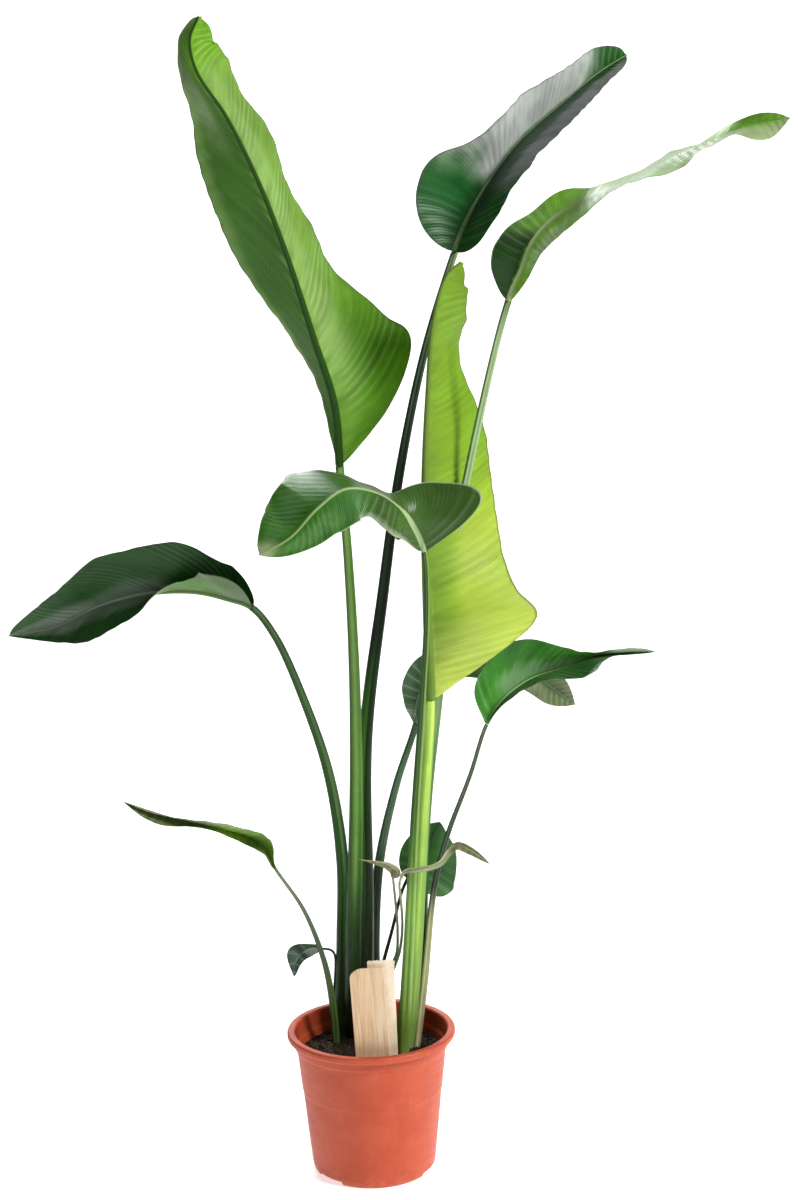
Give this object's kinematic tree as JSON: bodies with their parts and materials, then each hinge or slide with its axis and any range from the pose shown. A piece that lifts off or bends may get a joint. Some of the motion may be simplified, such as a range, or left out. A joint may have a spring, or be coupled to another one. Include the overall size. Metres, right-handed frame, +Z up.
{
  "type": "potted bird of paradise",
  "caption": "Tall houseplant: long stalked paddle leaves rise from compost in a round rimmed nursery pot, with plain plant tags",
  "frame": {"origin": "centre of the pot's foot, on the surface that the pot stands on", "axes": "+Z up; the plant faces -Y, towards the tag; +X is to the right seen from there"},
  "size_m": [0.9437, 0.5264, 1.3939],
  "materials": {
    "pot": "satin",
    "soil": "matte",
    "tag_wood": "matte",
    "tag_card": "matte",
    "stem_1": "satin",
    "leaf_1": "satin",
    "stem_2": "satin",
    "leaf_2": "satin",
    "stem_3": "satin",
    "leaf_3": "satin",
    "stem_4": "satin",
    "leaf_4": "satin",
    "stem_5": "satin",
    "leaf_5": "satin",
    "stem_6": "satin",
    "leaf_6": "satin",
    "stem_7": "satin",
    "leaf_7": "satin",
    "stem_8": "satin",
    "leaf_8": "satin",
    "stem_9": "satin",
    "leaf_9": "satin",
    "stem_10": "satin",
    "leaf_10": "satin",
    "stem_11": "satin",
    "leaf_11": "satin",
    "stem_12": "satin",
    "leaf_12": "satin",
    "stem_13": "satin",
    "leaf_13": "satin"
  },
  "bodies": {
    "root": {"pot": "pot", "soil": "soil", "tag_front": "tag_wood", "tag_back": "tag_card", "stem_1": "stem_1", "leaf_1": "leaf_1", "stem_2": "stem_2", "leaf_2": "leaf_2", "stem_3": "stem_3", "leaf_3": "leaf_3", "stem_4": "stem_4", "leaf_4": "leaf_4", "stem_5": "stem_5", "leaf_5": "leaf_5", "stem_6": "stem_6", "leaf_6": "leaf_6", "stem_7": "stem_7", "leaf_7": "leaf_7", "stem_8": "stem_8", "leaf_8": "leaf_8", "stem_9": "stem_9", "leaf_9": "leaf_9", "stem_10": "stem_10", "leaf_10": "leaf_10", "stem_11": "stem_11", "leaf_11": "leaf_11", "stem_12": "stem_12", "leaf_12": "leaf_12", "stem_13": "stem_13", "leaf_13": "leaf_13"}
  },
  "joints": []
}
